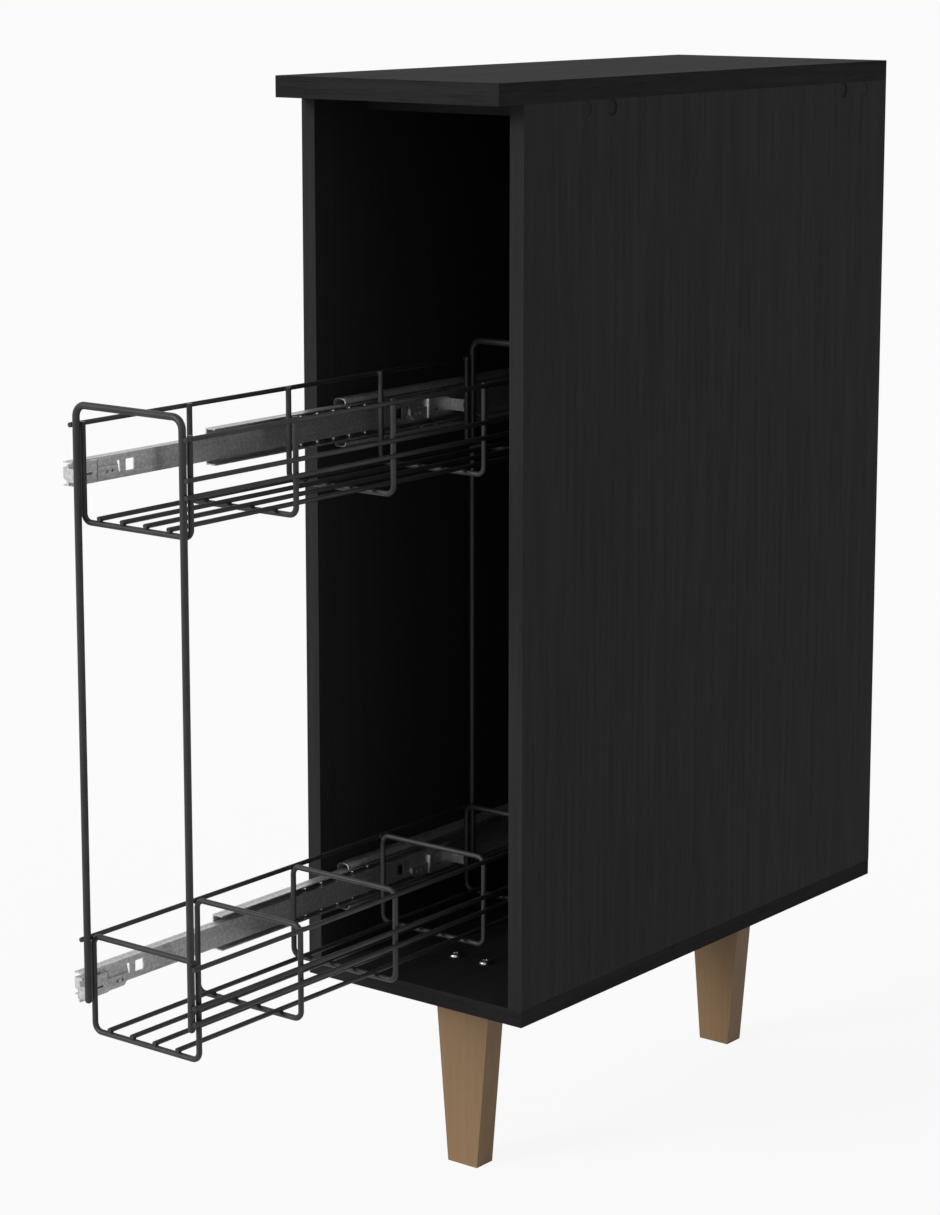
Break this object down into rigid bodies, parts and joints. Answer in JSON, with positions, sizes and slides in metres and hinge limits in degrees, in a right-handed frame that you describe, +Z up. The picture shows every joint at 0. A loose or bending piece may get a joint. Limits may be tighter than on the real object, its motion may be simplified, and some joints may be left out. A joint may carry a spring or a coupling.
{
  "type": "pull-out rack cabinet",
  "caption": "Narrow black kitchen floor cabinet on tapered brown legs, with a two-tier black wire rack for jars and bottles that pulls out of its open front on side slides.",
  "frame": {"origin": "centre of the front leg's foot, on the floor", "axes": "+Z up, +X to the right as seen by someone who stands at the open front, +Y to the back; the rack pulls out along -Y"},
  "size_m": [0.2, 0.7549, 0.8175],
  "materials": {
    "black_laminate": "matt black woodgrain laminate",
    "back_board": "thin dark board",
    "brown_leg": "satin light-brown stained wood",
    "black_wire": "black powder coat",
    "galvanised_slide": "zinc-plated sheet",
    "ball_cage": "zinc-plated sheet",
    "bearing_ball": "polished",
    "zinc_screw": "zinc-plated",
    "grey_bumper": "matt light grey",
    "black_cap": "matt"
  },
  "bodies": {
    "cabinet": {"left_side_panel": "black_laminate", "right_side_panel": "black_laminate", "bottom_board": "black_laminate", "worktop": "black_laminate", "back_panel": "back_board", "front_top_rail": "black_laminate", "rear_top_rail": "black_laminate", "front_leg": "brown_leg", "rear_leg": "brown_leg", "leg_screws": "zinc_screw", "bottom_board_screws": "zinc_screw", "worktop_screws": "zinc_screw", "rail_screws": "zinc_screw", "screw_caps": "black_cap", "slide_screws": "zinc_screw", "lower_slide_outer_member": "galvanised_slide", "upper_slide_outer_member": "galvanised_slide"},
    "rack": {"front_frame": "black_wire", "rear_frame": "black_wire", "slide_bumpers": "grey_bumper", "lower_front_bracket": "galvanised_slide", "lower_rear_bracket": "galvanised_slide", "lower_floor_wires": "black_wire", "lower_left_rim_wire": "black_wire", "lower_right_rim_wire": "black_wire", "lower_right_high_wire": "black_wire", "lower_right_low_wire": "black_wire", "lower_slide_inner_member": "galvanised_slide", "lower_hoop_1": "black_wire", "lower_hoop_2": "black_wire", "lower_hoop_3": "black_wire", "lower_hoop_4": "black_wire", "lower_hoop_5": "black_wire", "upper_front_bracket": "galvanised_slide", "upper_rear_bracket": "galvanised_slide", "upper_floor_wires": "black_wire", "upper_left_rim_wire": "black_wire", "upper_right_rim_wire": "black_wire", "upper_right_high_wire": "black_wire", "upper_right_low_wire": "black_wire", "upper_slide_inner_member": "galvanised_slide", "upper_hoop_1": "black_wire", "upper_hoop_2": "black_wire", "upper_hoop_3": "black_wire", "upper_hoop_4": "black_wire", "upper_hoop_5": "black_wire"},
    "lower_slide_middle": {"lower_slide_middle_member": "galvanised_slide"},
    "lower_outer_ball_set": {"lower_slide_outer_cage": "ball_cage", "lower_slide_outer_balls": "bearing_ball"},
    "lower_inner_ball_set": {"lower_slide_inner_cage": "ball_cage", "lower_slide_inner_balls": "bearing_ball"},
    "upper_slide_middle": {"upper_slide_middle_member": "galvanised_slide"},
    "upper_outer_ball_set": {"upper_slide_outer_cage": "ball_cage", "upper_slide_outer_balls": "bearing_ball"},
    "upper_inner_ball_set": {"upper_slide_inner_cage": "ball_cage", "upper_slide_inner_balls": "bearing_ball"}
  },
  "joints": [
    {"name": "rack_slide", "type": "slide", "parent": "cabinet", "child": "rack", "axis": [0, -1, 0], "range_m": [-0.2806, 0.1194]},
    {"name": "lower_slide_middle_travel", "type": "slide", "parent": "cabinet", "child": "lower_slide_middle", "axis": [0, -1, 0], "range_m": [-0.1403, 0.0597]},
    {"name": "lower_outer_ball_set_travel", "type": "slide", "parent": "cabinet", "child": "lower_outer_ball_set", "axis": [0, -1, 0], "range_m": [-0.07015, 0.02985]},
    {"name": "lower_inner_ball_set_travel", "type": "slide", "parent": "cabinet", "child": "lower_inner_ball_set", "axis": [0, -1, 0], "range_m": [-0.21045, 0.08955]},
    {"name": "upper_slide_middle_travel", "type": "slide", "parent": "cabinet", "child": "upper_slide_middle", "axis": [0, -1, 0], "range_m": [-0.1403, 0.0597]},
    {"name": "upper_outer_ball_set_travel", "type": "slide", "parent": "cabinet", "child": "upper_outer_ball_set", "axis": [0, -1, 0], "range_m": [-0.07015, 0.02985]},
    {"name": "upper_inner_ball_set_travel", "type": "slide", "parent": "cabinet", "child": "upper_inner_ball_set", "axis": [0, -1, 0], "range_m": [-0.21045, 0.08955]}
  ],
  "couplings": [
    {"joint": "lower_slide_middle_travel", "follows": "rack_slide", "ratio": 0.5},
    {"joint": "lower_outer_ball_set_travel", "follows": "rack_slide", "ratio": 0.25},
    {"joint": "lower_inner_ball_set_travel", "follows": "rack_slide", "ratio": 0.75},
    {"joint": "upper_slide_middle_travel", "follows": "rack_slide", "ratio": 0.5},
    {"joint": "upper_outer_ball_set_travel", "follows": "rack_slide", "ratio": 0.25},
    {"joint": "upper_inner_ball_set_travel", "follows": "rack_slide", "ratio": 0.75}
  ]
}
